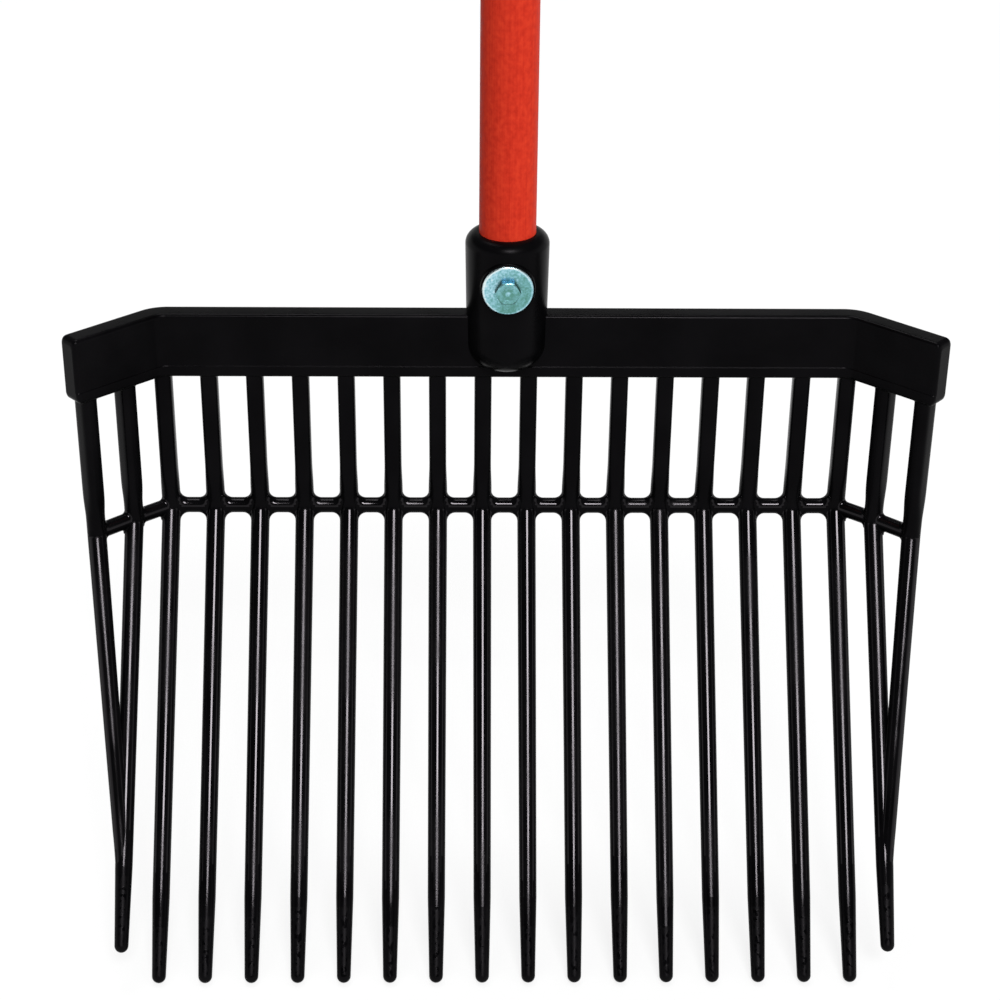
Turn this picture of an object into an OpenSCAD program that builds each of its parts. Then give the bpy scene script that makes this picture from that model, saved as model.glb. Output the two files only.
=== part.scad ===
// Manure fork: a one-piece moulded basket head on a round tubular handle.
// Frame: +Z runs up the handle, -Y is the load side of the basket, +X is to the right of someone who
// faces the load side. The origin is on the handle's axis, in the plane of the socket's mouth.

/* [Handle] */
// Outside diameter of the handle tube
handle_od = 28; // [24:0.5:34]
// Wall of the handle tube
handle_wall = 3.5; // [2:0.5:5]
// Length of tube that shows above the socket
handle_exposed = 1150; // [600:10:1400]
// How much smaller than the tube's radius its ground lower end is
insert_relief = 0.2; // [0.1:0.05:0.5]
// Length of the plug that stiffens the tube where the bolt crosses it
core_len = 80; // [60:1:120]
// Height of the end cap above the tube
cap_h = 9; // [5:0.5:14]
// Rounding of the end cap's edge
cap_round = 7; // [2:0.5:10]
// Length of the end cap's spigot inside the tube
cap_spigot = 25; // [12:1:50]
// Chamfer on the ends of the plug and the spigot
plug_chamfer = 1; // [0.5:0.1:2]
// Radial clearance of the plug and the spigot in the tube
plug_clear = 0.1; // [0.05:0.05:0.3]

/* [Socket] */
// Wall of the socket around the handle, at its mouth
socket_wall = 6.7; // [5.5:0.1:9]
// How much the socket's radius draws in from its mouth to its foot
socket_draft = 0.8; // [0:0.1:1.2]
// Depth of the socket's bore
socket_depth = 59.5; // [55:0.5:70]
// Solid floor below the bore
socket_floor = 12; // [8:0.5:16]
// Rounding of the socket's mouth
mouth_round = 6; // [3:0.5:6]
// Rounding of the socket's foot
foot_round = 14; // [8:0.5:18]
// Radial clearance of the handle in the bore
socket_clear = 0.1; // [0.05:0.05:0.3]
// Gap between the handle's end and the bore's floor
seat_gap = 0.5; // [0.3:0.1:1]
// Distance from the socket's mouth down to the bolt
bolt_drop = 22; // [18:0.5:28]
// How far the washer pads stand proud of the socket
pad_proud = 0.6; // [0.3:0.1:2]
// Margin of the washer pads around the washers
pad_margin = 1; // [0.5:0.1:3]

/* [Fastener] */
// Bolt diameter
bolt_d = 6.35; // [5:0.05:8]
// Bolt length under the head
bolt_len = 55; // [52:1:70]
// Width across the flats of the bolt head and the nut
hex_af = 11; // [8:0.5:13]
// Height of the bolt head
bolt_head_h = 4; // [3:0.5:6]
// Chamfer on the corners of the bolt head and the nut
hex_chamfer = 0.6; // [0.3:0.1:1]
// Height of the hexagon of the lock nut
nut_h = 4.5; // [4:0.5:7]
// Height of the lock nut's round collar
nut_collar_h = 1.5; // [1:0.5:3]
// Radial clearance of the lock nut on the bolt
nut_clear = 0.05; // [0.05:0.01:0.1]
// Radial clearance of the bolt in its holes and in the washers
bolt_clear = 0.2; // [0.1:0.1:0.5]
// Outside diameter of the washers
washer_od = 25; // [18:1:30]
// Thickness of the washers
washer_t = 1.6; // [1:0.1:3]

/* [Bar] */
// Distance from the socket's foot down to the bar's underside
bar_drop = 5; // [2:0.5:15]
// Height of the bar
bar_h = 34; // [30:1:45]
// Thickness of the bar
bar_t = 12; // [10:0.5:16]
// Rounding along the bar's edges
bar_round = 2; // [1:0.1:3]
// Angle by which each wing is folded towards the load side
wing_angle = 42; // [20:1:60]
// Radius of the fold at the bar's middle line
fold_r = 14; // [10:1:30]
// Distance from the last centre tine to the fold
fold_gap = 1.5; // [0:0.1:4]
// Length of bar past the outermost tine's middle
bar_overhang = 8; // [6:0.5:16]
// Rounding of the wing's outer corners
wing_round = 3.5; // [2:0.5:8]

/* [Ribs and tines] */
// Number of tines between the wings
centre_tines = 16; // [12:1:18]
// Distance between tines, along the bar
tine_pitch = 23; // [20:0.5:26]
// Distance from the bar down to the stringer's middle
window_h = 75.5; // [50:0.5:100]
// Width of a rib
rib_w = 8.7; // [6:0.1:9]
// Depth of a rib
rib_d = 10; // [8:0.1:10]
// Rounding along a rib's edges
rib_round = 2.5; // [1:0.1:3]
// Length over which a rib turns round above the stringer
rib_blend = 16; // [8:1:30]
// Angle by which the tines bend towards the load side
tine_angle = 39.5; // [25:0.5:55]
// Bend radius at the tine's middle line
bend_r = 12; // [8:0.5:16]
// Length of a centre tine from the stringer to its tip
tine_len = 243; // [180:0.5:300]
// Length of the inner wing tine from the stringer to its tip
wing_tine_len = 219; // [150:0.5:300]
// Distance from the inner wing tine's tip back to where the outer tine joins it
wing_join = 42; // [30:1:70]
// Diameter of a tine at the stringer
tine_root_d = 9.6; // [8:0.1:11]
// Diameter of a tine where its nose begins
tine_nose_d = 8.7; // [7:0.1:9]
// Diameter of a tine at its round tip
tine_tip_d = 6.9; // [4:0.1:7]
// Length of the nose
nose_len = 42; // [20:1:60]
// Diameter of the outer wing tine where it joins the inner one
join_d = 8; // [6:0.1:8.2]

/* [Stringer] */
// Diameter of the stringer between the tines
stringer_d = 8; // [6:0.1:9]
// Fillet between the stringer and the tines
web_fillet = 3.5; // [1:0.5:5]
// Thickness of the fillet webs
web_t = 5; // [3:0.5:7]
// Length of the knuckle on each side of the stringer's middle
knuckle_reach = 9; // [8.5:0.5:14]

/* [Hidden] */
$fn = 64;
wing_tines = 2;
tine_total = centre_tines + 2 * wing_tines;
eps = 1;

// A straight length is this much slimmer than the bend that it starts in, and starts this far inside it,
// so that the two surfaces cross cleanly.
hair = 0.05;
lap = 0.8;

handle_r = handle_od / 2;
insert_r = handle_r - insert_relief;
tube_ir = handle_r - handle_wall;
plug_r = tube_ir - plug_clear;
bore_r = insert_r + socket_clear;
insert_len = socket_depth - seat_gap;

socket_r = handle_r + socket_wall;
foot_r = socket_r - socket_draft;
socket_len = socket_depth + socket_floor;
pad_y = socket_r + pad_proud;
pad_r = washer_od / 2 + pad_margin;
bolt_hole_r = bolt_d / 2 + bolt_clear;

bar_bottom = -socket_len - bar_drop;
bar_z = bar_bottom + bar_h / 2;
kink_z = bar_bottom - window_h;

centre_half = (centre_tines - 1) / 2 * tine_pitch;
fold_x = centre_half + fold_gap;
fold_run = fold_r * tan(wing_angle / 2);
fold_start = fold_x - fold_run;
wing_len = wing_run(wing_tines) + bar_overhang;

root_r = tine_root_d / 2;
web_inset = root_r / 4;
tip_r = tine_tip_d / 2;
rib_reach = norm([rib_w, rib_d]) / 2;

// Tines are counted from left to right. A tine's rank is 0 between the wings, and 1 and 2 out along a wing.
function side(i) = i <= wing_tines ? -1 : i > tine_total - wing_tines ? 1 : 0;
function rank(i) = side(i) < 0 ? wing_tines + 1 - i : side(i) > 0 ? i - tine_total + wing_tines : 0;
function inner_tine(i) = side(i) < 0 ? i + 1 : i - 1;
function wing_run(n) = n * tine_pitch - fold_gap;
function centre_x(i) = (i - (tine_total + 1) / 2) * tine_pitch;
function wing_x(n) = fold_x + wing_run(n) * cos(wing_angle);
function wing_y(n) = -wing_run(n) * sin(wing_angle);
function kink(i) = rank(i) == 0 ? [centre_x(i), 0, kink_z]
    : [side(i) * wing_x(rank(i)), wing_y(rank(i)), kink_z];

// Every tine points the same way, apart from the outermost ones, which run in to their neighbours.
along = [0, -sin(tine_angle), -cos(tine_angle)];
function join_point(i) = kink(inner_tine(i)) + (wing_tine_len - wing_join) * along;
function reach_of(i) = rank(i) == 2 ? join_point(i) - kink(i) : tine_len * along;
function length_of(i) = rank(i) == 0 ? tine_len : rank(i) == 1 ? wing_tine_len : norm(reach_of(i));
function bend_of(i) = acos(-reach_of(i)[2] / norm(reach_of(i)));
function turn_of(i) = atan2(reach_of(i)[0], -reach_of(i)[1]);
function bend_run(i) = bend_r * tan(bend_of(i) / 2);

// Whether a rib meets the fold or the straight wing beyond it
function on_wing(i) = abs(kink(i)[0]) + rib_reach > fold_start;

function two_digits(i) = str(i < 10 ? "0" : "", i);
function rib_name(i) = str("rib_", two_digits(i));
function tine_name(i) = str("tine_", two_digits(i));

// Shared shapes

module rounded_rect(w, h, r) {
    square([w - 2 * r, h], center = true);
    square([w, h - 2 * r], center = true);
    for (x = [-1, 1], y = [-1, 1])
        translate([x * (w / 2 - r), y * (h / 2 - r)]) circle(r);
}

// A cylinder across the socket, front to back, at the bolt's height
module across(r, y_from, y_to) {
    translate([0, y_from, -bolt_drop]) rotate([-90, 0, 0]) cylinder(r = r, h = y_to - y_from);
}

// A hexagonal prism with turned corners, standing on Z = 0, with flats towards +Y and -Y
module hexagon(h) {
    corner_r = hex_af / 2 / cos(30);
    turned_r = corner_r - hex_chamfer;
    intersection() {
        cylinder(r = corner_r, h = h, $fn = 6);
        union() {
            cylinder(r = corner_r + eps, h = h - hex_chamfer);
            translate([0, 0, h - hex_chamfer])
                cylinder(r1 = turned_r + hex_chamfer / tan(30), r2 = turned_r, h = hex_chamfer);
        }
    }
}

// A plug with chamfered ends, standing on Z = 0
module plug(r, h) {
    rotate_extrude() polygon([
        [0, 0], [r - plug_chamfer, 0], [r, plug_chamfer],
        [r, h - plug_chamfer], [r - plug_chamfer, h], [0, h]
    ]);
}

// Handle

module handle_tube() {
    color("orangered") difference() {
        union() {
            cylinder(r = handle_r, h = handle_exposed);
            translate([0, 0, -insert_len]) cylinder(r = insert_r, h = insert_len);
        }
        translate([0, 0, -insert_len - eps]) cylinder(r = tube_ir, h = insert_len + handle_exposed + 2 * eps);
        across(bolt_hole_r, -handle_od, handle_od);
    }
}

module handle_core() {
    color("burlywood") difference() {
        translate([0, 0, -insert_len]) plug(plug_r, core_len);
        across(bolt_hole_r, -handle_od, handle_od);
    }
}

module handle_end_cap() {
    color("dimgray") translate([0, 0, handle_exposed]) {
        rotate_extrude() {
            square([handle_r - cap_round, cap_h]);
            square([handle_r, cap_h - cap_round]);
            intersection() {
                translate([handle_r - cap_round, cap_h - cap_round]) circle(cap_round);
                square([handle_r, cap_h]);
            }
        }
        translate([0, 0, -cap_spigot]) plug(plug_r, cap_spigot);
    }
}

// Socket

module socket_body() {
    rotate_extrude() intersection() {
        union() {
            polygon([
                [0, 0], [socket_r - mouth_round, 0], [socket_r, -mouth_round],
                [foot_r, -socket_len + foot_round], [foot_r - foot_round, -socket_len], [0, -socket_len]
            ]);
            translate([socket_r - mouth_round, -mouth_round]) circle(mouth_round);
            translate([foot_r - foot_round, -socket_len + foot_round]) circle(foot_round);
        }
        translate([0, -socket_len]) square([socket_r, socket_len]);
    }
}

module handle_socket() {
    color("black") difference() {
        union() {
            socket_body();
            across(pad_r, -pad_y, pad_y);
        }
        translate([0, 0, -socket_depth]) cylinder(r = bore_r, h = socket_depth + eps);
        across(bolt_hole_r, -pad_y - eps, pad_y + eps);
    }
}

// Fastener

module washer(y) {
    difference() {
        across(washer_od / 2, y, y + washer_t);
        across(bolt_hole_r, y - eps, y + washer_t + eps);
    }
}

module front_washer() {
    color("lightsteelblue") washer(-pad_y - washer_t);
}

module rear_washer() {
    color("lightsteelblue") washer(pad_y);
}

module socket_bolt() {
    seat_y = -pad_y - washer_t;
    color("lightsteelblue") {
        translate([0, seat_y, -bolt_drop]) rotate([90, 0, 0]) hexagon(bolt_head_h);
        across(bolt_d / 2, seat_y, seat_y + bolt_len);
    }
}

module lock_nut() {
    seat_y = pad_y + washer_t;
    nut_bore_r = bolt_d / 2 + nut_clear;
    color("lightsteelblue") difference() {
        union() {
            translate([0, seat_y, -bolt_drop]) rotate([-90, 0, 0]) hexagon(nut_h);
            across(hex_af / 2 - hex_chamfer, seat_y + nut_h, seat_y + nut_h + nut_collar_h);
        }
        across(nut_bore_r, seat_y - eps, seat_y + nut_h + nut_collar_h + eps);
    }
}

// Bar

module bar_section(slimmer = 0) {
    rounded_rect(bar_t - 2 * slimmer, bar_h - 2 * slimmer, bar_round - slimmer);
}

module head_bar() {
    color("black") difference() {
        translate([0, 0, bar_z]) rotate([90, 0, 90])
            linear_extrude(height = 2 * fold_start, center = true) bar_section();
        socket_body();
    }
}

// The fold and the straight wing beyond it, with its outer corners rounded
module wing_bar() {
    translate([fold_start, -fold_r, bar_z]) rotate([0, 0, 90 - wing_angle])
        rotate_extrude(angle = wing_angle) translate([fold_r, 0]) bar_section();
    translate([fold_x, 0, bar_z]) rotate([0, 0, -wing_angle]) intersection() {
        translate([fold_run - lap, 0, 0]) rotate([90, 0, 90])
            linear_extrude(height = wing_len - fold_run + lap) bar_section(hair);
        rotate([90, 0, 0]) linear_extrude(height = bar_t + 2 * eps, center = true)
            rounded_rect(2 * wing_len, bar_h, wing_round);
    }
}

module right_wing_bar() {
    color("black") wing_bar();
}

module left_wing_bar() {
    color("black") mirror([1, 0, 0]) wing_bar();
}

// Stringer

module stub(run) {
    translate([0, 0, run - lap]) cylinder(r = root_r - hair, h = knuckle_reach - run + lap);
}

// The bend of one tine, with a stub towards its rib and another towards its point
module knuckle(i) {
    run = bend_run(i);
    translate(kink(i)) rotate([0, 0, turn_of(i)]) {
        stub(run);
        translate([0, -bend_r, run]) rotate([-90, 0, 90])
            rotate_extrude(angle = bend_of(i)) translate([bend_r, 0]) circle(root_r);
        rotate([180 - bend_of(i), 0, 0]) stub(run);
    }
}

// The fillets at both ends of one length of stringer, on one side of it, started inside the knuckles
module web_fillets(span) {
    corner = [root_r + web_fillet, stringer_d / 2 + web_fillet];
    rotate([90, 0, 0]) linear_extrude(height = web_t, center = true)
        for (end = [0, 1])
            translate([end * span, 0]) mirror([end, 0]) difference() {
                translate([root_r / 2, 0]) square([corner[0] - root_r / 2, corner[1]]);
                translate(corner) circle(web_fillet);
            }
}

// One length of stringer, from tine i to the next tine on its right
module web(i) {
    step = kink(i + 1) - kink(i);
    span = norm(step);
    heading = atan2(step[1], step[0]);
    tilt = atan2(sin(tine_angle) * cos(heading), cos(tine_angle));
    translate(kink(i)) rotate([0, 0, heading]) {
        translate([web_inset, 0, 0]) rotate([0, 90, 0]) cylinder(d = stringer_d, h = span - 2 * web_inset);
        web_fillets(span);
        rotate([180 - tilt, 0, 0]) web_fillets(span);
    }
}

module stringer() {
    first = wing_tines + 1;
    last = tine_total - wing_tines;
    color("black") {
        for (i = [first:last]) knuckle(i);
        for (i = [first:last - 1]) web(i);
    }
}

module left_wing_stringer() {
    color("black") difference() {
        union() {
            for (i = [1:wing_tines]) {
                knuckle(i);
                web(i);
            }
        }
        knuckle(wing_tines + 1);
    }
}

module right_wing_stringer() {
    color("black") mirror([1, 0, 0]) left_wing_stringer();
}

// Ribs and tines

// A rib hangs from the bar and turns round where it meets its knuckle
module rib(i) {
    foot_z = kink_z + knuckle_reach;
    color("black") difference() {
        translate([kink(i)[0], kink(i)[1], foot_z]) intersection() {
            rotate([0, 0, -wing_angle * side(i)])
                linear_extrude(height = bar_bottom + bar_round + eps - foot_z)
                    rounded_rect(rib_w, rib_d, rib_round);
            union() {
                cylinder(r1 = root_r, r2 = rib_reach, h = rib_blend);
                translate([0, 0, rib_blend]) cylinder(r = rib_reach, h = window_h);
            }
        }
        if (side(i) == 0) head_bar();
        if (side(i) == 0) socket_body();
        if (on_wing(i)) mirror([kink(i)[0] < 0 ? 1 : 0, 0, 0]) wing_bar();
    }
}

// A tine's profile, along its axis from the stringer
module nosed_profile(length) {
    polygon([
        [0, knuckle_reach], [root_r, knuckle_reach], [tine_nose_d / 2, length - nose_len],
        [tip_r, length - tip_r], [0, length - tip_r]
    ]);
    translate([0, length - tip_r]) intersection() {
        circle(tip_r);
        translate([0, -tip_r]) square([tip_r, 2 * tip_r]);
    }
}

module joined_profile(length) {
    polygon([[0, knuckle_reach], [root_r, knuckle_reach], [join_d / 2, length], [0, length]]);
}

module tine_body(i) {
    translate(kink(i)) rotate([180 - bend_of(i), 0, turn_of(i)])
        rotate_extrude() if (rank(i) == 2) joined_profile(length_of(i)); else nosed_profile(length_of(i));
}

// The outermost tines end on the flanks of their neighbours
module tine(i) {
    color("black") difference() {
        tine_body(i);
        if (rank(i) == 2) tine_body(inner_tine(i));
    }
}

handle_tube();
handle_core();
handle_end_cap();
handle_socket();
socket_bolt();
front_washer();
rear_washer();
lock_nut();
head_bar();
left_wing_bar();
right_wing_bar();
stringer();
left_wing_stringer();
right_wing_stringer();
for (i = [1:tine_total]) rib(i);
for (i = [1:tine_total]) tine(i);
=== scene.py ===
"""Looks of a manure fork: a black moulded basket head, an orange-red handle and a zinc-plated bolt.

Every piece is in metres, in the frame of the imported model: +Z runs up the handle, -Y is the load side.
"""

import math

import bmesh
import bpy
from mathutils import Matrix, Vector


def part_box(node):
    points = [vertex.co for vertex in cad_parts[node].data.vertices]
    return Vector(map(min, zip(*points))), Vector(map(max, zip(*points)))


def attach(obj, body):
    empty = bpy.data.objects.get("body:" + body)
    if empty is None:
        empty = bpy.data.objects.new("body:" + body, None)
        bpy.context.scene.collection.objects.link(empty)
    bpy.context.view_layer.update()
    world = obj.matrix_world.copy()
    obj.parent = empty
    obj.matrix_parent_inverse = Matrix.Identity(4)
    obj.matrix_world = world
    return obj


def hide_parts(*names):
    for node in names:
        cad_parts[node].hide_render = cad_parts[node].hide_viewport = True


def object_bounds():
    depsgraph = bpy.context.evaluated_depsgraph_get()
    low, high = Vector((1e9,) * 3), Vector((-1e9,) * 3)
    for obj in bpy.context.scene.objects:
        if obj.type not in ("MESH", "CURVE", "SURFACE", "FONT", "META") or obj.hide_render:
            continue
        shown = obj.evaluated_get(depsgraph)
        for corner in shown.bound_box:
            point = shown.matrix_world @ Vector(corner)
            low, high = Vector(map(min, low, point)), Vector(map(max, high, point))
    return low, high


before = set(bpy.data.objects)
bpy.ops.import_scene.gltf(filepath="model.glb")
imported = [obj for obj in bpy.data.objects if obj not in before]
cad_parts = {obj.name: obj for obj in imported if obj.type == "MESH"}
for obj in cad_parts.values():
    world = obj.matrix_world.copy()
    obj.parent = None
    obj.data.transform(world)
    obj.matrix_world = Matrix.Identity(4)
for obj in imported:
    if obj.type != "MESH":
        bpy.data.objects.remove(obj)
cad_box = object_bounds()

MM = 0.001
BODY = "root"
RIGHT = Vector((1, 0, 0))
BACK = Vector((0, 1, 0))
UP = Vector((0, 0, 1))

# Points round a tine or a stringer, round a turned piece, and round the bolt and its nut
AROUND = 32
TURNED = 96
BOLT_POINTS = 72

# Steps round a tine's bend, of which the first ones stay satin, and down its shaft, nose and tip
BEND_STEPS = 8
SATIN_BEND_STEPS = 6
SHAFT_STEPS = 48
NOSE_STEPS = 8
TIP_STEPS = 7

# Steps down the shaft of an outermost tine, and round its swing into its neighbour
JOINED_STEPS = 10
SWING_STEPS = 8

# Angles over which an edge is sharp, on a hexagon and elsewhere
SHARP_HEX_EDGE = math.radians(28)
SHARP_EDGE = math.radians(40)

# Radius of the small hole that each cap closes
PINHOLE = 0.3 * MM

# Bar
BAR_EDGE = 2 * MM
BAR_CORNER = 3.5 * MM
BAR_LEDGE = 0.45 * MM
LEDGE_HEIGHT = 6.2 * MM
LEDGE_ROUND = 0.3 * MM
LEDGE_SHOULDER = 0.85
FOLD_RADIUS = 14 * MM
FOLD_GAP = 1.5 * MM
WING_ANGLE = math.radians(42)
WING_TINES = 2

# Ribs, where a section's power is 2 for an ellipse and more for a rounded rectangle
RIB_WIDTH = 8.7 * MM
RIB_DEPTH = 10 * MM
ROUND_POWER = 2.0
RIB_POWER = 4.0
RIB_FILLET = 1.2 * MM
RIB_BLEND = 16 * MM
KNUCKLE_REACH = 9 * MM
EMBED = 2 * MM

# Tines, with the angles of the first and the last ring round a tip
TINE_ANGLE = math.radians(39.5)
ALONG = Vector((0, -math.sin(TINE_ANGLE), -math.cos(TINE_ANGLE)))
LOAD_SIDE = ALONG.cross(RIGHT)
BEND_RADIUS = 12 * MM
ROOT_RADIUS = 4.8 * MM
NOSE_RADIUS = 4.35 * MM
NOSE_LENGTH = 42 * MM
TIP_RADIUS = 3.45 * MM
TIP_DEGREES = (12, 86)

# Outermost tines, which join their neighbours
WING_JOIN = 42 * MM
JOIN_SWING = 18 * MM
JOIN_RADIUS = 4 * MM
JOIN_END_RADIUS = 3.2 * MM

# Stringer, with the share of its radius where a fillet's swell is full, and how far aside it meets a tine
STRINGER_RADIUS = 4 * MM
WEB_FILLET = 4.2 * MM
WING_FILLET = 2 * MM
FULL_SWELL = 0.7
TINE_FLANK = 0.9 * ROOT_RADIUS

# Polish on a tine: half its width as an angle, how long it narrows, and how much the worn points vary
POLISHED_SPAN = math.radians(45)
POLISH_FADE = 22 * MM
WORN_SPREAD = 6 * MM

# Polish on a stringer: the least that a face there looks up and to the front
POLISHED_RISE = 0.25
POLISHED_FRONT = 0.45

# Socket
MOUTH_ROUND = 6 * MM
FOOT_ROUND = 14 * MM
SOCKET_DRAFT = 0.8 * MM
BORE_RADIUS = 13.9 * MM
BORE_DEPTH = 59.5 * MM
BORE_CHAMFER = 0.15 * MM
PAD_RADIUS = 13.5 * MM
PAD_EDGE = 0.8 * MM
PAD_DEPTH = 6.5 * MM

# Handle
TUBE_WALL = 3.5 * MM
INSERT_RELIEF = 0.2 * MM
TUBE_CHAMFER = 0.4 * MM
PLUG_CLEARANCE = 0.1 * MM
CAP_ROUND = 7 * MM
CAP_GROOVE = 0.6 * MM

# Fastener
HEX_FLATS = 11 * MM
HEX_TURNED = 5.25 * MM
HEX_TURN_ANGLE = math.radians(30)
HEX_TURN_DEPTH = 0.65 * MM
HEAD_DISH = 3.4 * MM
HEAD_DISH_DEPTH = 0.35 * MM
BOLT_RADIUS = 3.175 * MM
BOLT_HOLE = 3.375 * MM
WASHER_EDGE = 0.75 * MM
THREAD_PITCH = 1.27 * MM
THREAD_DEPTH = 0.65 * MM
THREAD_LENGTH = 7 * MM
THREAD_STEPS = 10
COLLAR_HEIGHT = 1.5 * MM
COLLAR_RADIUS = 4.9 * MM
COLLAR_LIP = 0.5 * MM

# Facets of a hexagon that take painted light: how far out they lie, the most they slant, and the least the
# upper ones rise, the top one for a painted sky reflection and the ones beside it for painted shade
FACET_REACH = 0.49 * HEX_FLATS
FACET_SLANT = 0.5
TOP_FACET_RISE = 0.8
SIDE_FACET_RISE = 0.2

# Zinc's colour: which way and how far it runs from light blue at the upper left to dark green at the lower
# right, and where its hue changes outward from the bolt's axis
DRIFT_WAY = Vector((0.6, 0, -0.8))
DRIFT_REACH = 9 * MM
SPOT_RADIUS = 0.8 * MM
RING_RADIUS = 1.6 * MM
DISH_FADE = 0.8 * MM
CHAMFER_FADE = 1 * MM
# The fade into the pale rim, which is worn plating and a painted reflection of the floor
RIM_FADE = 0.6 * MM

# Lavender cast of what the black moulding reflects, and the values that a noise seldom leaves
GLINT = (1.0, 0.93, 1.0, 1.0)
NOISE_SPAN = (0.3, 0.7)

# Numbers of the black moulding's finishes, and of a hexagon's plain zinc, painted sky reflection and
# painted shade
POLISHED, SATIN, WORN = range(3)
PLAIN_ZINC, PAINTED_SKY_FACET, PAINTED_SHADE_FACET = range(3)

# Camera, as fitted to the photograph
LENS = 82.15
CAMERA_PLACE = Vector((-22.6, -1044.1, 411.4)) * MM
CAMERA_PITCH = math.radians(28.22)
CAMERA_YAW = math.radians(1.116)
CAMERA_ROLL = math.radians(0.641)

# Soft light of the world: the side that has the most of it, and how much
SOFT_SIDE = Vector((0.8, 0.6, 0))
SOFT_LEVEL = 1.35

# Background that the eye sees: where the white gives way to the ceiling, and how dim that is
WHITE = (1, 1, 1, 1)
CEILING_RISE = (0.24, 0.36)
CEILING_LEVEL = 0.05

# Floor: its grey, and its glow to the eye from near to far
FLOOR_HALF = 15.0
FLOOR_GREY = (0.15, 0.15, 0.15, 1)
GLOW_DISTANCE = (2.0, 14.0)
GLOW_LEVEL = (0.8, 0.9)

# What the lamps face
BASKET_MIDDLE = Vector((0, -60, -230)) * MM


def smooth_step(value):
    """Rises from 0 to 1 with level ends."""
    clamped = min(1.0, max(0.0, value))
    return clamped * clamped * (3 - 2 * clamped)


def mix(start, end, share):
    """The value at a share of the way from start to end."""
    return start + (end - start) * share


def steps(start, end, count):
    """Evenly spaced values, both ends included."""
    return [mix(start, end, k / count) for k in range(count + 1)]


def arc(start_degrees, end_degrees, count):
    """Evenly spaced angles in radians, both ends included."""
    return [math.radians(a) for a in steps(start_degrees, end_degrees, count)]


def quarter_circle(across, height, radius, start_degrees, count):
    """(across, height) points of a round corner about its centre."""
    return [(across + radius * math.cos(a), height + radius * math.sin(a))
            for a in arc(start_degrees, start_degrees + 90, count)]


def fillet_curve(radius, count):
    """(distance from the wall, swell) points of a fillet, from the wall outward."""
    return [(radius * (1 - math.sin(a)), radius * (1 - math.cos(a))) for a in arc(90, 0, count)]


class Shell:
    """Points and faces of one piece, gathered from closed lofts."""

    def __init__(self):
        self.points = []
        self.faces = []

    def loft(self, rings, closed=False):
        """Skins a row of rings of equal counts, with its ends capped unless it closes on itself."""
        start = len(self.points)
        count = len(rings[0])
        for points in rings:
            self.points.extend(points)
        for k in range(len(rings) if closed else len(rings) - 1):
            low = start + k * count
            high = start + (k + 1) % len(rings) * count
            for j in range(count):
                n = (j + 1) % count
                self.faces.append((low + j, low + n, high + n, high + j))
        if not closed:
            last = start + (len(rings) - 1) * count
            self.faces.append(tuple(range(start, start + count)))
            self.faces.append(tuple(range(last, last + count)))

    def turn(self, profile, place=Vector(), axis=UP, closed=False):
        """Revolves (radius, height) points about an axis through a place."""
        across = axis.orthogonal().normalized()
        beside = axis.cross(across)
        angles = [math.tau * k / TURNED for k in range(TURNED)]
        spokes = [across * math.cos(a) + beside * math.sin(a) for a in angles]
        self.loft([[place + axis * height + spoke * radius for spoke in spokes]
                   for radius, height in profile], closed)

    def piece(self, name, nodes, finishes, pick=None, sharp=SHARP_EDGE, weighted=False):
        """Makes the mesh object, which rides on the fork and stands for these nodes.

        A face takes the finish that pick numbers, or else the first one.
        """
        mesh = bpy.data.meshes.new(name)
        mesh.from_pydata(self.points, [], self.faces)
        work = bmesh.new()
        work.from_mesh(mesh)
        bmesh.ops.recalc_face_normals(work, faces=work.faces)
        work.to_mesh(mesh)
        work.free()
        mesh.shade_smooth()
        mesh.set_sharp_from_angle(angle=sharp)
        for material in finishes:
            mesh.materials.append(material)
        if pick:
            for face in mesh.polygons:
                face.material_index = pick(face)
        made = bpy.data.objects.new(name, mesh)
        bpy.context.scene.collection.objects.link(made)
        if weighted:
            made.modifiers.new("flat_faces", "WEIGHTED_NORMAL").keep_sharp = True
        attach(made, BODY)
        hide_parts(*nodes)


def set_sockets(node, values):
    """Sets a node's inputs, whose names have an underscore here for each space."""
    for socket, value in values.items():
        node.inputs[socket.replace("_", " ")].default_value = value


def add_node(tree, kind, links=(), **values):
    """A new node with some inputs linked and others set."""
    made = tree.nodes.new(kind)
    set_sockets(made, values)
    for socket, source in dict(links).items():
        tree.links.new(source, made.inputs[socket])
    return made


def map_range(tree, value, low, high, to_low, to_high):
    """Runs from to_low to to_high while the value runs from low to high."""
    made = add_node(tree, "ShaderNodeMapRange", {"Value": value},
                    From_Min=low, From_Max=high, To_Min=to_low, To_Max=to_high)
    return made.outputs["Result"]


def maths(tree, operation, first, second):
    """Works out a number from a linked one and a second one, linked or not."""
    made = tree.nodes.new("ShaderNodeMath")
    made.operation = operation
    tree.links.new(first, made.inputs[0])
    if isinstance(second, float):
        made.inputs[1].default_value = second
    else:
        tree.links.new(second, made.inputs[1])
    return made.outputs["Value"]


def vector_maths(tree, operation, first, second=Vector()):
    """Works out a number from a linked vector and a fixed one."""
    made = tree.nodes.new("ShaderNodeVectorMath")
    made.operation = operation
    tree.links.new(first, made.inputs[0])
    made.inputs[1].default_value = second
    return made.outputs["Value"]


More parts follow.
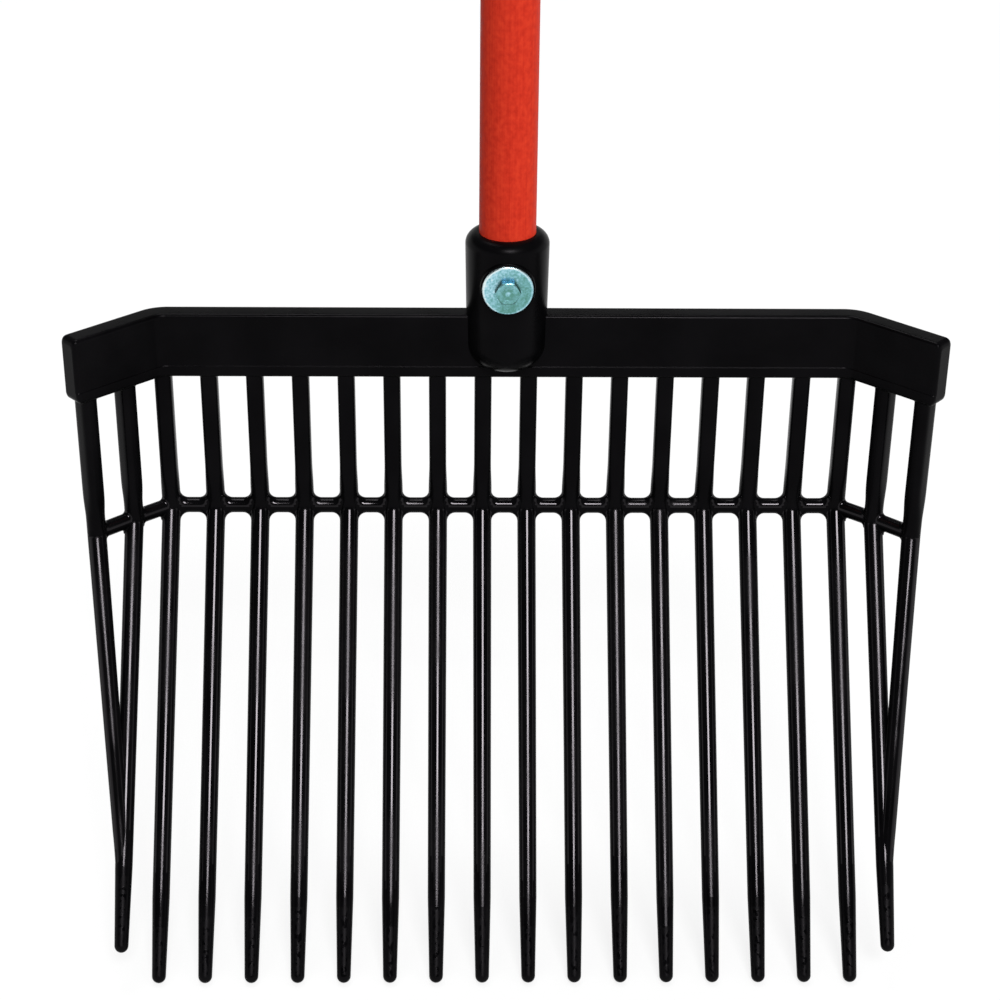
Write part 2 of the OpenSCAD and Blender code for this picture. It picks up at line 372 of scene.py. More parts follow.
class Paint:
    """A node material under construction."""

    def __init__(self, name, **values):
        self.material = bpy.data.materials.new(name)
        self.material.use_nodes = True
        self.tree = self.material.node_tree
        self.shader = self.tree.nodes["Principled BSDF"]
        self.place = self.tree.nodes.new("ShaderNodeTexCoord").outputs["Object"]
        set_sockets(self.shader, values)

    def mapped(self, **values):
        """The place on the object, scaled or moved."""
        return add_node(self.tree, "ShaderNodeMapping", {"Vector": self.place}, **values).outputs["Vector"]

    def noise(self, scale, detail=3.0, place=None):
        """A cloudy pattern, finer at a larger scale."""
        links = {"Vector": place or self.place}
        return add_node(self.tree, "ShaderNodeTexNoise", links, Scale=scale, Detail=detail).outputs["Fac"]

    def streaks(self, x, y, z, detail):
        """A noise with a scale of its own along each axis."""
        return self.noise(1.0, detail, self.mapped(Scale=(x, y, z)))

    def blend(self, first, second, share):
        """A weighted sum of two patterns, with the second one's share."""
        rest = maths(self.tree, "MULTIPLY", first, 1 - share)
        return maths(self.tree, "ADD", rest, maths(self.tree, "MULTIPLY", second, share))

    def colour(self, pattern, *stops):
        """Colours the surface by a pattern, through (position, colour) stops."""
        ramp = add_node(self.tree, "ShaderNodeValToRGB", {"Fac": pattern})
        elements = ramp.color_ramp.elements
        while len(elements) < len(stops):
            elements.new(1.0)
        for element, (position, shade) in zip(elements, stops):
            element.position = position
            element.color = (*shade, 1)
        self.tree.links.new(ramp.outputs["Color"], self.shader.inputs["Base Color"])

    def roughness(self, pattern, at_low, at_high, span=NOISE_SPAN):
        """Varies the roughness by a pattern, between its values at the two ends of the span."""
        level = map_range(self.tree, pattern, *span, at_low, at_high)
        self.tree.links.new(level, self.shader.inputs["Roughness"])

    def relief(self, *layers):
        """Bumps from (pattern, distance, strength) layers, each on top of the one before."""
        links = {}
        for pattern, distance, strength in layers:
            links["Height"] = pattern
            bump = add_node(self.tree, "ShaderNodeBump", links, Strength=strength, Distance=distance)
            links["Normal"] = bump.outputs["Normal"]
        self.tree.links.new(links["Normal"], self.shader.inputs["Normal"])


def black_moulding(name, specular):
    """The head's black plastic, with the shine that its mould gave it."""
    paint = Paint(name, Specular_IOR_Level=specular, Specular_Tint=GLINT)
    paint.colour(paint.noise(38.0), (0.35, (0.0008, 0.0008, 0.0010)), (0.7, (0.0024, 0.0023, 0.0027)))
    return paint


def polished_plastic():
    """Black moulding of the tines' load side and of the stringers' upper front."""
    paint = black_moulding("polished_plastic", specular=0.2)
    paint.roughness(paint.noise(16.0), 0.08, 0.3, span=(0.4, 0.62))
    paint.relief((paint.noise(30.0, detail=1.0), 0.2 * MM, 0.3), (paint.noise(700.0), 0.002 * MM, 0.5))
    return paint.material


def worn_plastic():
    """Black moulding of the tines' points, rubbed dull with a few shiny dashes left."""
    paint = black_moulding("worn_plastic", specular=0.06)
    dashes = paint.streaks(520.0, 520.0, 190.0, detail=2.0)
    paint.roughness(dashes, 0.42, 0.1, span=(0.48, 0.62))
    paint.relief((dashes, 0.05 * MM, 0.4))
    return paint.material


def satin_plastic():
    """Black moulding where its mould was textured: bar, ribs, socket and undersides hardly shine."""
    paint = black_moulding("satin_plastic", specular=0.04)
    paint.roughness(paint.noise(31.0), 0.24, 0.35)
    paint.relief((paint.noise(40.0, detail=1.0), 0.25 * MM, 0.3), (paint.noise(1300.0), 0.02 * MM, 0.5))
    return paint.material


def handle_fibreglass():
    """Orange-red pultruded tube: mottled, with fibres that run along it under a satin skin."""
    paint = Paint("handle_fibreglass", Specular_IOR_Level=0.05)
    fibres = paint.streaks(900.0, 900.0, 9.0, detail=4.0)
    mottle = paint.streaks(430.0, 430.0, 330.0, detail=3.0)
    paint.colour(paint.blend(fibres, mottle, 0.6), (0.34, (0.56, 0.028, 0.013)),
                 (0.5, (0.66, 0.038, 0.017)), (0.66, (0.74, 0.052, 0.021)))
    paint.roughness(mottle, 0.42, 0.58)
    paint.relief((fibres, 0.03 * MM, 0.5))
    return paint.material


def zinc_plate():
    """Steel with a passivated zinc plating: lighter and bluer to the upper left and darker and greener to
    the lower right, with a green ring in the dish and a pale rim of worn plating and painted floor
    reflection.
    """
    paint = Paint("zinc_plate", Metallic=1.0)
    across = paint.mapped(Location=-bolt_axis, Scale=(1, 0, 1))
    outward = vector_maths(paint.tree, "LENGTH", across)
    slope = vector_maths(paint.tree, "DOT_PRODUCT", across, DRIFT_WAY)
    flecks = paint.noise(950.0, detail=2.0)
    rim = washer_radius - WASHER_EDGE
    hue = paint.blend(paint.noise(110.0, detail=2.0), flecks, 0.55)
    for distance, start, end, before, after in (
            # Lighter and bluer to the upper left, darker and greener to the lower right
            (slope, -DRIFT_REACH, DRIFT_REACH, -0.12, 0.12),
            (outward, SPOT_RADIUS, RING_RADIUS, -0.10, 0.17),
            (outward, HEAD_DISH - DISH_FADE, HEAD_DISH, 0.0, -0.14),
            (outward, HEX_TURNED, HEX_TURNED + CHAMFER_FADE, 0.0, -0.06),
            # Pale rim: worn plating, and a painted reflection of the floor on the rolled edge
            (outward, rim - RIM_FADE, rim, 0.0, -0.25)):
        hue = maths(paint.tree, "ADD", hue, map_range(paint.tree, distance, start, end, before, after))
    paint.colour(hue, (0.12, (0.72, 0.86, 0.88)), (0.32, (0.36, 0.64, 0.74)),
                 (0.47, (0.19, 0.44, 0.46)), (0.66, (0.11, 0.29, 0.25)))
    paint.roughness(flecks, 0.24, 0.4)
    paint.relief((flecks, 0.03 * MM, 0.5))
    return paint.material


def painted_facet_zinc(name, dark, bright):
    """Painted light on a hexagon's facets, between two colours: used for a painted sky reflection on the
    top facet and for painted shade on the facets beside it.
    """
    paint = Paint(name, Metallic=1.0)
    flecks = paint.noise(420.0, detail=2.0)
    paint.colour(flecks, (0.3, dark), (0.7, bright))
    paint.roughness(flecks, 0.4, 0.55)
    return paint.material


def cap_plastic():
    """Soft black plastic with a fine moulded grain."""
    paint = Paint("cap_plastic", Specular_IOR_Level=0.3)
    paint.colour(paint.noise(60.0), (0.3, (0.010, 0.010, 0.011)), (0.7, (0.019, 0.019, 0.020)))
    paint.roughness(paint.noise(90.0), 0.42, 0.58)
    paint.relief((paint.noise(1100.0), 0.03 * MM, 0.6))
    return paint.material


def core_wood():
    """Plain turned dowel, with its grain along the handle."""
    paint = Paint("core_wood", Specular_IOR_Level=0.3)
    grain = paint.streaks(420.0, 420.0, 14.0, detail=5.0)
    paint.colour(grain, (0.3, (0.42, 0.26, 0.12)), (0.55, (0.60, 0.42, 0.22)), (0.75, (0.70, 0.52, 0.30)))
    paint.roughness(grain, 0.55, 0.75)
    paint.relief((grain, 0.1 * MM, 0.5))
    return paint.material


# Where the frame puts the head's members
bar_low, bar_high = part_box("head_bar")
bar_half_height = (bar_high.z - bar_low.z) / 2
bar_half_depth = (bar_high.y - bar_low.y) / 2
bar_middle = UP * (bar_low.z + bar_half_height)
tine_total = sum(name.startswith("tine_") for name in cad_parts)
kink_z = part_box("rib_10")[0].z - KNUCKLE_REACH
window_height = bar_low.z - kink_z


def kink(number):
    """Where a tine's rib and point meet, on the stringer."""
    low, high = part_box(f"rib_{number:02d}")
    return Vector(((low.x + high.x) / 2, (low.y + high.y) / 2, kink_z))


def rank(number):
    """0 between the wings, and 1 and 2 out along a wing."""
    return max(0, WING_TINES + 1 - number, number - tine_total + WING_TINES)


def tine_length(number):
    """From the kink to the tip, worked out from the height of the tip."""
    drop = kink_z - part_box(f"tine_{number:02d}")[0].z
    return (drop - TIP_RADIUS) / math.cos(TINE_ANGLE) + TIP_RADIUS


def tine_reach(number):
    """From the kink to the tip, or on an outermost tine to the middle of its neighbour."""
    if rank(number) < WING_TINES:
        return ALONG * tine_length(number)
    inner = number + 1 if number <= WING_TINES else number - 1
    return kink(inner) + ALONG * (tine_length(inner) - WING_JOIN) - kink(number)


def oval(half_width, half_depth, power, spin=0.0):
    """A closed section: an ellipse at power 2, and nearer to a rounded rectangle above that."""
    points = []
    for k in range(AROUND):
        angle = math.tau * k / AROUND
        across = abs(math.cos(angle - spin)) / half_width
        deep = abs(math.sin(angle - spin)) / half_depth
        radius = (across ** power + deep ** power) ** (-1 / power)
        points.append((radius * math.cos(angle), radius * math.sin(angle)))
    return points


def circle(radius):
    """A round section."""
    return oval(radius, radius, ROUND_POWER)


def ring(centre, first, second, section):
    """Points of a section about its centre, in the plane of two directions."""
    return [centre + first * x + second * y for x, y in section]


def rib_section(height, flare, spin):
    """A rib is a rounded rectangle that turns round above the stringer."""
    share = smooth_step((height - KNUCKLE_REACH) / RIB_BLEND)
    half_width = mix(ROOT_RADIUS, RIB_WIDTH / 2, share) + flare
    half_depth = mix(ROOT_RADIUS, RIB_DEPTH / 2, share)
    return oval(half_width, half_depth, mix(ROUND_POWER, RIB_POWER, share), spin)


def rib_stations(run):
    """(height over the kink, flare) down a rib, from inside the bar to the bend."""
    stations = [(window_height + EMBED, RIB_FILLET)]
    stations += [(window_height - out, flare) for out, flare in fillet_curve(RIB_FILLET, count=5)]
    blend_top = KNUCKLE_REACH + RIB_BLEND
    straight = steps(window_height - 2 * RIB_FILLET, blend_top, count=6)
    blend = steps(blend_top, run, count=9)[1:-1]
    return stations + [(height, 0.0) for height in straight + blend]


def rib_rings(corner, ahead, run, turned):
    """Rings down a rib, whose broad faces are turned with the wing."""
    spin = -math.atan2(ahead.x, -ahead.y) - turned
    return [ring(corner + UP * height, UP.cross(ahead), -ahead, rib_section(height, flare, spin))
            for height, flare in rib_stations(run)]


def bend_rings(start, ahead, bend):
    """Rings round a tine's bend at the stringer."""
    beside = UP.cross(ahead)
    centre = start + ahead * BEND_RADIUS
    rings = []
    for a in steps(0, bend, BEND_STEPS):
        along = ahead * math.sin(a) - UP * math.cos(a)
        out = ahead * math.cos(a) + UP * math.sin(a)
        rings.append(ring(centre - out * BEND_RADIUS, beside, beside.cross(along), circle(ROOT_RADIUS)))
    return rings


def free_path(start, reach, run):
    """(middle, direction, radius) down a tine, from its bend to its tip."""
    along = reach.normalized()
    nose = reach.length - NOSE_LENGTH
    tip = reach.length - TIP_RADIUS
    stations = [(s, mix(ROOT_RADIUS, NOSE_RADIUS, s / nose)) for s in steps(run, nose, SHAFT_STEPS)[1:]]
    for t in steps(0, 1, NOSE_STEPS)[1:]:
        stations.append((mix(nose, tip, t), mix(NOSE_RADIUS, TIP_RADIUS, t)))
    for a in arc(*TIP_DEGREES, TIP_STEPS):
        stations.append((tip + TIP_RADIUS * math.sin(a), TIP_RADIUS * math.cos(a)))
    return [(start + along * s, along, radius) for s, radius in stations]


def joined_path(start, reach, run):
    """(middle, direction, radius) down an outermost tine, which swings into line inside its neighbour."""
    along = reach.normalized()
    length = reach.length
    swing = length - JOIN_SWING
    path = [(start + along * s, along, mix(ROOT_RADIUS, JOIN_RADIUS, s / length))
            for s in steps(run, swing, JOINED_STEPS)[1:]]
    end = start + reach
    before, after = end - along * JOIN_SWING, end + ALONG * JOIN_SWING
    swing_radius = mix(ROOT_RADIUS, JOIN_RADIUS, swing / length)
    for t in steps(0, 1, SWING_STEPS)[1:]:
        middle = before * (1 - t) ** 2 + end * (2 * t * (1 - t)) + after * t ** 2
        path.append((middle, along.lerp(ALONG, t).normalized(), mix(swing_radius, JOIN_END_RADIUS, t)))
    return path


def path_rings(path):
    """Round rings along a path, square to it."""
    rings = []
    for middle, along, radius in path:
        beside = Vector((-along.y, along.x, 0)).normalized()
        rings.append(ring(middle, beside, beside.cross(along), circle(radius)))
    return rings


def tine_finish(number, satin_rings):
    """Gives the choice of finish for a tine whose first rings are satin."""
    worn_length = NOSE_LENGTH - WORN_SPREAD * (1 + math.sin(number ** 2))
    worn_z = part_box(f"tine_{number:02d}")[0].z + worn_length * math.cos(TINE_ANGLE)
    joined = rank(number) == WING_TINES

    def finish(face):
        """The load side is polished, in a strip that narrows to the worn point, and the rest is satin."""
        aside = face.normal.angle(LOAD_SIDE)
        if face.index < satin_rings * AROUND or aside > POLISHED_SPAN:
            return SATIN
        above = face.center.z - worn_z
        if joined or aside * POLISH_FADE < POLISHED_SPAN * above:
            return POLISHED
        return WORN if above < 0 else SATIN

    return finish


def bent_tine(number, finishes):
    """One tine from the bar to its tip: a rib, a bend at the stringer and a long tapered point."""
    corner = kink(number)
    reach = tine_reach(number)
    ahead = Vector((reach.x, reach.y, 0)).normalized()
    bend = math.acos(-reach.z / reach.length)
    run = BEND_RADIUS * math.tan(bend / 2)
    turned = 0.0 if rank(number) == 0 else math.copysign(WING_ANGLE, corner.x)
    point_path = joined_path if rank(number) == WING_TINES else free_path
    rib = rib_rings(corner, ahead, run, turned)
    bent = bend_rings(corner + UP * run, ahead, bend)
    point = path_rings(point_path(corner, reach, run))
    shell = Shell()
    shell.loft(rib + bent + point)
    suffix = f"{number:02d}"
    shell.piece(f"bent_tine_{suffix}", [f"rib_{suffix}", f"tine_{suffix}"], finishes,
                pick=tine_finish(number, len(rib) + SATIN_BEND_STEPS))


def tine_surface(aside):
    """Distance from a tine's middle to its surface, this far to the side."""
    return math.sqrt(ROOT_RADIUS ** 2 - min(abs(aside), TINE_FLANK) ** 2)


def web_ring(heading, swell):
    """Points round a stringer, drawn out up the rib and down the tine by a swell.

    Each comes with the distance along the heading from the tine's middle to its surface there, and with
    how far the tine has moved along the heading at that depth.
    """
    beside = heading.cross(UP)
    below = (ALONG - heading * ALONG.dot(heading)).normalized()
    flank = heading.cross(ALONG).normalized()
    slant = heading.cross(ALONG).length
    ring_points = []
    for k in range(AROUND):
        angle = math.tau * k / AROUND
        rise = math.sin(angle)
        point = (beside * math.cos(angle) + UP * rise) * STRINGER_RADIUS
        point += (UP if rise > 0 else below) * (swell * smooth_step(abs(rise) / FULL_SWELL))
        over = tine_surface(point.dot(beside))
        under = tine_surface(point.dot(flank)) / slant
        drift = ALONG.dot(heading) / -ALONG.z * max(0.0, -point.z)
        ring_points.append((point, mix(under, over, smooth_step(rise + 0.5)), drift))
    return ring_points


def stringer_web(shell, number):
    """One length of stringer between two tines, with a fillet at each of its corners."""
    start = kink(number)
    step = kink(number + 1) - start
    end = start + step
    heading = step.normalized()
    fillet = WEB_FILLET if max(rank(number), rank(number + 1)) == 0 else WING_FILLET
    near, far = [], []
    for out, swell in [(-ROOT_RADIUS / 2, fillet)] + fillet_curve(fillet, count=8):
        points = web_ring(heading, swell)
        near.append([start + point + heading * (drift + surface + out) for point, surface, drift in points])
        far.append([end + point + heading * (drift - surface - out) for point, surface, drift in points])
    shell.loft(near + far[::-1])


def web_finish(face):
    """The upper front of a stringer is polished, and the rest is satin."""
    return POLISHED if face.normal.z > POLISHED_RISE and -face.normal.y > POLISHED_FRONT else SATIN


def stringers(finishes):
    """The rows of webs between the wings and along each wing."""
    right_wing = tine_total - WING_TINES
    for name, node, first, last in (
            ("stringer_webs", "stringer", WING_TINES + 1, right_wing - 1),
            ("left_wing_webs", "left_wing_stringer", 1, WING_TINES),
            ("right_wing_webs", "right_wing_stringer", right_wing, tine_total - 1)):
        shell = Shell()
        for number in range(first, last + 1):
            stringer_web(shell, number)
        shell.piece(name, [node], finishes, pick=web_finish)


def bar_section(thinner, lower):
    """(depth, height) points round the bar, with a low ledge along the foot of its front face."""
    half_depth = bar_half_depth - thinner
    half_height = bar_half_height - lower
    ledge = LEDGE_HEIGHT - bar_half_height
    points = []
    for depth_side, height_side, first in ((1, -1, -90), (1, 1, 0), (-1, 1, 90), (-1, -1, 180)):
        front_top = depth_side < height_side
        depth = half_depth - BAR_EDGE - (BAR_LEDGE if front_top else 0)
        height = half_height - BAR_EDGE
        points += quarter_circle(depth_side * depth, height_side * height, BAR_EDGE, first, count=6)
        if front_top:
            points += [(BAR_LEDGE - half_depth, ledge + LEDGE_ROUND),
                       (BAR_LEDGE * LEDGE_SHOULDER - half_depth, ledge + LEDGE_ROUND / 3),
                       (BAR_LEDGE * (1 - LEDGE_SHOULDER) - half_depth, ledge - LEDGE_ROUND / 3),
                       (-half_depth, ledge - LEDGE_ROUND)]
    return points


def bar_stations():
    """(plan point, back direction, thinner, lower) from the bar's middle to its right-hand end."""
    fold_x = kink(tine_total - WING_TINES).x + FOLD_GAP
    fold_start = fold_x - FOLD_RADIUS * math.tan(WING_ANGLE / 2)
    heading = Vector((math.cos(WING_ANGLE), -math.sin(WING_ANGLE), 0))
    wing_back = Vector((math.sin(WING_ANGLE), math.cos(WING_ANGLE), 0))
    wing_length = (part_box("right_wing_bar")[1].x - fold_x - wing_back.x * bar_half_depth) / heading.x
    wing_end = RIGHT * fold_x + heading * wing_length
    stations = [(RIGHT * x, BACK, 0.0, 0.0) for x in steps(0, fold_start, count=8)[1:]]
    for a in steps(0, WING_ANGLE, count=10)[1:]:
        back = Vector((math.sin(a), math.cos(a), 0))
        stations.append((RIGHT * fold_start + (back - BACK) * FOLD_RADIUS, back, 0.0, 0.0))
    for inset, lower in reversed(fillet_curve(BAR_CORNER, count=10)):
        rounding = max(0.0, BAR_EDGE - inset)
        thinner = BAR_EDGE - math.sqrt(BAR_EDGE ** 2 - rounding ** 2)
        stations.append((wing_end - heading * inset, wing_back, thinner, lower))
    return stations


def head_bar(finish):
    """The bar in one length, folded forward at each wing."""
    right_half = bar_stations()
    flip = Matrix.Scale(-1, 3, RIGHT)
    left_half = [(flip @ place, flip @ back, *insets) for place, back, *insets in reversed(right_half)]
    shell = Shell()
    shell.loft([ring(place + bar_middle, back, UP, bar_section(*insets))
                for place, back, *insets in left_half + right_half])
    shell.piece("folded_bar", ["head_bar", "left_wing_bar", "right_wing_bar"], [finish],
                weighted=True)


# Where the frame puts the fastener
washer_low, washer_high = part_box("front_washer")
bolt_axis = UP * (washer_low.z + washer_high.z) / 2
washer_radius = (washer_high.x - washer_low.x) / 2
washer_thick = washer_high.y - washer_low.y
pad_face = -washer_high.y


def handle_socket(finish):
    """A cup with a rounded mouth, and a flat pad front and back for the washers."""
    low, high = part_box("handle_socket")
    outside = high.x
    foot = outside - SOCKET_DRAFT
    profile = [(PINHOLE, low.z)]
    profile += quarter_circle(foot - FOOT_ROUND, low.z + FOOT_ROUND, FOOT_ROUND, -90, count=10)
    profile += quarter_circle(outside - MOUTH_ROUND, high.z - MOUTH_ROUND, MOUTH_ROUND, 0, count=12)
    profile += [(BORE_RADIUS + BORE_CHAMFER, high.z), (BORE_RADIUS, high.z - BORE_CHAMFER)]
    profile += [(BORE_RADIUS, high.z - BORE_DEPTH), (PINHOLE, high.z - BORE_DEPTH)]
    shell = Shell()
    shell.turn(profile)
    pad = [(PINHOLE, pad_face - PAD_DEPTH), (PAD_RADIUS, pad_face - PAD_DEPTH)]
    pad += quarter_circle(PAD_RADIUS - PAD_EDGE, pad_face - PAD_EDGE, PAD_EDGE, 0, count=5)
    pad += [(PINHOLE, pad_face)]
    for axis in (BACK, -BACK):
        shell.turn(pad, bolt_axis, axis)
    shell.piece("socket_cup", ["handle_socket"], [finish], weighted=True)


def washer(name, node, axis, finish):
    """A stamped washer with its outer face rolled over at the rim."""
    edge = WASHER_EDGE / 2
    rim = washer_radius - WASHER_EDGE
    profile = [(BOLT_HOLE, 0.0), (washer_radius - edge, 0.0), (washer_radius, edge)]
    profile += quarter_circle(rim, washer_thick - WASHER_EDGE, WASHER_EDGE, 0, count=6)
    profile += [(BOLT_HOLE + edge, washer_thick), (BOLT_HOLE, washer_thick - edge)]
    shell = Shell()
    shell.turn(profile, bolt_axis + axis * pad_face, axis, closed=True)
    shell.piece(name, [node], [finish])


def hex_radius(angle, depth):
    """Distance from a hexagon's middle to its side, cut by a cone that starts below the face."""
    side = HEX_FLATS / 2 / math.cos(angle % (math.tau / 6) - math.tau / 12)
    return min(side, HEX_TURNED + depth / math.tan(HEX_TURN_ANGLE))


def bolt_ring(y, radius_at):
    """A ring about the bolt's axis, of a radius that may depend on the angle."""
    points = []
    for k in range(BOLT_POINTS):
        angle = math.tau * k / BOLT_POINTS
        spoke = RIGHT * math.cos(angle) + UP * math.sin(angle)
        points.append(bolt_axis + BACK * y + spoke * radius_at(angle))
    return points


def round_rings(profile):
    """Round rings about the bolt's axis, from (radius, y) points."""
    return [bolt_ring(y, lambda angle, radius=radius: radius) for radius, y in profile]


def hexagon_rings(seat, face):
    """A hexagon's rings from its seat to its turned face."""
    inward = math.copysign(1, seat - face)
    depths = steps(abs(seat - face), HEX_TURN_DEPTH, count=2) + steps(HEX_TURN_DEPTH, 0, count=6)[1:]
    return [bolt_ring(face + inward * d, lambda angle, d=d: hex_radius(angle, d)) for d in depths]


def painted_facet_light(face):
    """The top facet of a hexagon takes a painted sky reflection, and the facets beside it take painted
    shade.
    """
    spoke = face.center - bolt_axis
    if abs(face.normal.y) > FACET_SLANT or math.hypot(spoke.x, spoke.z) < FACET_REACH:
        return PLAIN_ZINC
    if face.normal.z > TOP_FACET_RISE:
        return PAINTED_SKY_FACET
    return PAINTED_SHADE_FACET if face.normal.z > SIDE_FACET_RISE else PLAIN_ZINC


def thread_radius(angle, y, start, end):
    """A thread that runs out towards the shank and is chamfered at the bolt's end."""
    turn = (y / THREAD_PITCH - angle / math.tau) % 1
    depth = THREAD_DEPTH * abs(2 * turn - 1) * smooth_step((y - start) / THREAD_PITCH)
    return min(BOLT_RADIUS - depth, BOLT_RADIUS - THREAD_PITCH + end - y)


def socket_bolt(finishes):
    """A bolt with a dished hexagon head, a plain shank and a thread at its end."""
    low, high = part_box("socket_bolt")
    face, end = low.y, high.y
    seat = washer_low.y
    thread = end - THREAD_LENGTH
    dish = face + HEAD_DISH_DEPTH
    rings = round_rings([(PINHOLE, dish), (HEAD_DISH - HEAD_DISH_DEPTH, dish),
                         (HEAD_DISH, face + HEAD_DISH_DEPTH / 2), (HEAD_DISH + HEAD_DISH_DEPTH, face)])
    rings += reversed(hexagon_rings(seat, face))
    rings += round_rings([(BOLT_RADIUS, seat), (BOLT_RADIUS, thread)])
    for y in steps(thread, end, round(THREAD_LENGTH / THREAD_PITCH * THREAD_STEPS))[1:]:
        rings.append(bolt_ring(y, lambda angle, y=y: thread_radius(angle, y, thread, end)))
    shell = Shell()
    shell.loft(rings)
    # The head's upper facets take a painted sky reflection and painted shade
    shell.piece("hex_bolt", ["socket_bolt"], finishes, pick=painted_facet_light, sharp=SHARP_HEX_EDGE)


def lock_nut(finishes):
    """A hexagon nut with a rolled collar on its outer face."""
    low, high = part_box("lock_nut")
    seat = low.y
    face = high.y - COLLAR_HEIGHT
    collar = [(COLLAR_RADIUS, face)]
    collar += quarter_circle(COLLAR_RADIUS - COLLAR_LIP, high.y - COLLAR_LIP, COLLAR_LIP, 0, count=5)
    collar += [(BOLT_HOLE + COLLAR_LIP, high.y), (BOLT_HOLE, high.y - COLLAR_LIP)]
    rings = round_rings([(BOLT_HOLE, seat)]) + hexagon_rings(seat, face) + round_rings(collar)
    shell = Shell()
    shell.loft(rings, closed=True)
    # The nut's upper facets take a painted sky reflection and painted shade
    shell.piece("collar_nut", ["lock_nut"], finishes, pick=painted_facet_light, sharp=SHARP_HEX_EDGE)


def handle_tube(finish):
    """A tube that is a little slimmer below the socket's mouth, to fit its bore."""
    low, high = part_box("handle_tube")
    outside = high.x
    insert = outside - INSERT_RELIEF
    bore = outside - TUBE_WALL
    shell = Shell()
    shell.turn([
        (bore, low.z), (insert - TUBE_CHAMFER, low.z), (insert, low.z + TUBE_CHAMFER),
        (insert, 0.0), (outside, 0.0), (outside, high.z - TUBE_CHAMFER), (outside - TUBE_CHAMFER, high.z),
        (bore, high.z)], closed=True)
    shell.piece("fibreglass_tube", ["handle_tube"], [finish])


def handle_end_cap(finish):
    """A domed cap with a spigot in the tube and a groove where it meets the tube's rim."""
    low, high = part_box("handle_end_cap")
    outside = high.x
    waist = outside - CAP_GROOVE
    spigot = outside - TUBE_WALL - PLUG_CLEARANCE
    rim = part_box("handle_tube")[1].z
    profile = [(PINHOLE, low.z), (spigot - CAP_GROOVE, low.z), (spigot, low.z + CAP_GROOVE), (spigot, rim)]
    profile += [(waist, rim), (waist, rim + CAP_GROOVE), (outside, rim + CAP_GROOVE)]
    profile += quarter_circle(outside - CAP_ROUND, high.z - CAP_ROUND, CAP_ROUND, 0, count=12)
    profile += [(PINHOLE, high.z)]
    shell = Shell()
    shell.turn(profile)
    shell.piece("end_cap", ["handle_end_cap"], [finish], weighted=True)


def build_fork():
    """Makes every piece, and gives the hidden core its wood."""
    polished, satin, worn = polished_plastic(), satin_plastic(), worn_plastic()
    zinc = zinc_plate()
    # Painted light on the hexagons: a blue sky reflection on their top facets, and dark shade on the facets
    # beside them
    painted_sky_zinc = painted_facet_zinc("painted_sky_zinc", dark=(0.024, 0.10, 0.165), bright=(0.075, 0.19, 0.30))
    painted_shade_zinc = painted_facet_zinc("painted_shade_zinc", dark=(0.010, 0.030, 0.020), bright=(0.030, 0.080, 0.055))
    for number in range(1, tine_total + 1):
        bent_tine(number, [polished, satin, worn])
    stringers([polished, satin])
    head_bar(satin)
    handle_socket(satin)
    washer("bolt_washer", "front_washer", -BACK, zinc)
    washer("nut_washer", "rear_washer", BACK, zinc)
    socket_bolt([zinc, painted_sky_zinc, painted_shade_zinc])
    lock_nut([zinc, painted_sky_zinc, painted_shade_zinc])
    handle_tube(handle_fibreglass())
    handle_end_cap(cap_plastic())
    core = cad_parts["handle_core"]
    core.data.materials.clear()
    core.data.materials.append(core_wood())


def background_rays(tree):
    """1 for rays that see the background: from the camera, a glossy surface or a clear one."""
    path = tree.nodes.new("ShaderNodeLightPath")
    seen = path.outputs["Is Camera Ray"]
    for name in ("Is Glossy Ray", "Is Transmission Ray"):
        seen = maths(tree, "MAXIMUM", seen, path.outputs[name])
    return seen


def studio_world():
    """White to the eye up to a dim ceiling, with soft light that is fuller on the right and behind."""
    world = bpy.data.worlds.new("studio")
    world.use_nodes = True
    tree = world.node_tree
    tree.nodes.clear()
    toward = tree.nodes.new("ShaderNodeTexCoord").outputs["Generated"]
    rise = add_node(tree, "ShaderNodeSeparateXYZ", {"Vector": toward}).outputs["Z"]
    side = vector_maths(tree, "DOT_PRODUCT", toward, SOFT_SIDE)
    soft_level = map_range(tree, side, -1.0, 1.0, 0.0, SOFT_LEVEL)
    seen_level = map_range(tree, rise, *CEILING_RISE, 1.0, CEILING_LEVEL)
    soft = add_node(tree, "ShaderNodeBackground", {"Strength": soft_level}, Color=WHITE)
    seen = add_node(tree, "ShaderNodeBackground", {"Strength": seen_level}, Color=WHITE)
    either = add_node(tree, "ShaderNodeMixShader", {
        "Fac": background_rays(tree), 1: soft.outputs["Background"], 2: seen.outputs["Background"]})
    add_node(tree, "ShaderNodeOutputWorld", {"Surface": either.outputs["Shader"]})
    bpy.context.scene.world = world


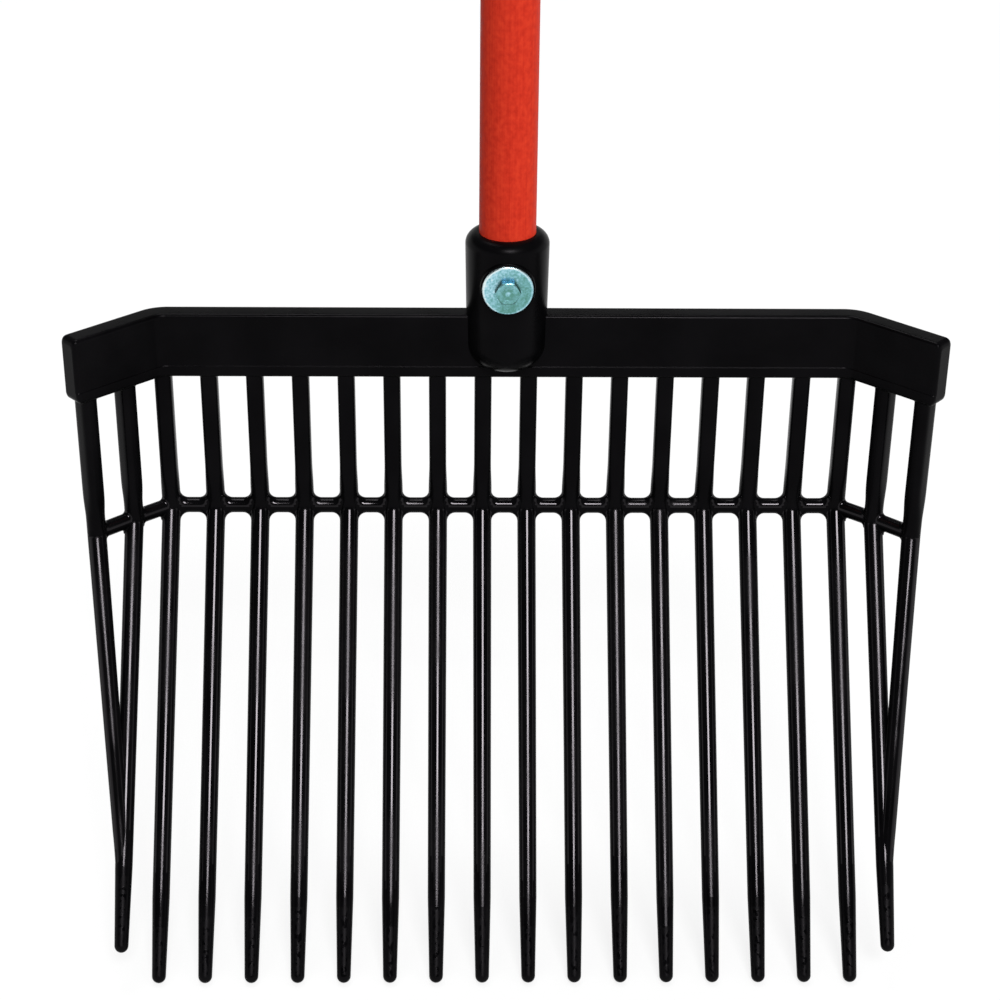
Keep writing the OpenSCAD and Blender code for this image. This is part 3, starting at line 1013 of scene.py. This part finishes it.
def floor_paint():
    """Grey to the lamps, and near white to the eye."""
    material = bpy.data.materials.new("floor")
    material.use_nodes = True
    tree = material.node_tree
    tree.nodes.clear()
    place = tree.nodes.new("ShaderNodeTexCoord").outputs["Object"]
    level = map_range(tree, vector_maths(tree, "LENGTH", place), *GLOW_DISTANCE, *GLOW_LEVEL)
    shown = maths(tree, "MULTIPLY", background_rays(tree), level)
    glow = add_node(tree, "ShaderNodeEmission", {"Strength": shown})
    matt = add_node(tree, "ShaderNodeBsdfDiffuse", Color=FLOOR_GREY)
    both = add_node(tree, "ShaderNodeAddShader", {0: matt.outputs["BSDF"], 1: glow.outputs["Emission"]})
    add_node(tree, "ShaderNodeOutputMaterial", {"Surface": both.outputs["Shader"]})
    return material


def studio_floor():
    """A wide pale floor under the points of the tines, which takes the fork's shadow."""
    floor_z = cad_box[0].z
    corners = [(x * FLOOR_HALF, y * FLOOR_HALF, floor_z) for x, y in ((-1, -1), (1, -1), (1, 1), (-1, 1))]
    mesh = bpy.data.meshes.new("floor")
    mesh.from_pydata(corners, [], [(0, 1, 2, 3)])
    mesh.materials.append(floor_paint())
    floor = bpy.data.objects.new("floor", mesh)
    bpy.context.scene.collection.objects.link(floor)


def softbox(name, azimuth, elevation, distance, width, height, irradiance):
    """An area lamp that faces the basket, turned right of the load side and raised by these degrees."""
    turn, rise = math.radians(azimuth), math.radians(elevation)
    away = Vector((math.sin(turn) * math.cos(rise), -math.cos(turn) * math.cos(rise), math.sin(rise)))
    data = bpy.data.lights.new(name, "AREA")
    data.shape = "RECTANGLE"
    data.size, data.size_y = width, height
    data.energy = irradiance * math.pi * distance ** 2
    made = bpy.data.objects.new(name, data)
    made.location = BASKET_MIDDLE + away * distance
    made.rotation_euler = away.to_track_quat("Z", "Y").to_euler()
    made.visible_camera = False
    bpy.context.scene.collection.objects.link(made)


def studio_camera():
    """The photograph's view."""
    data = bpy.data.cameras.new("camera")
    data.lens = LENS
    made = bpy.data.objects.new("camera", data)
    pitched = Matrix.Rotation(math.pi / 2 - CAMERA_PITCH, 4, "X") @ Matrix.Rotation(CAMERA_ROLL, 4, "Z")
    made.matrix_world = Matrix.Translation(CAMERA_PLACE) @ Matrix.Rotation(-CAMERA_YAW, 4, "Z") @ pitched
    bpy.context.scene.collection.objects.link(made)
    bpy.context.scene.camera = made


build_fork()
studio_world()
studio_floor()
softbox("key", azimuth=9, elevation=46.5, distance=8.0, width=2.6, height=1.75, irradiance=2.75)
softbox("fill", azimuth=195, elevation=68, distance=8.0, width=3.0, height=3.0, irradiance=1.1)
studio_camera()
bpy.context.scene.view_settings.view_transform = "Standard"
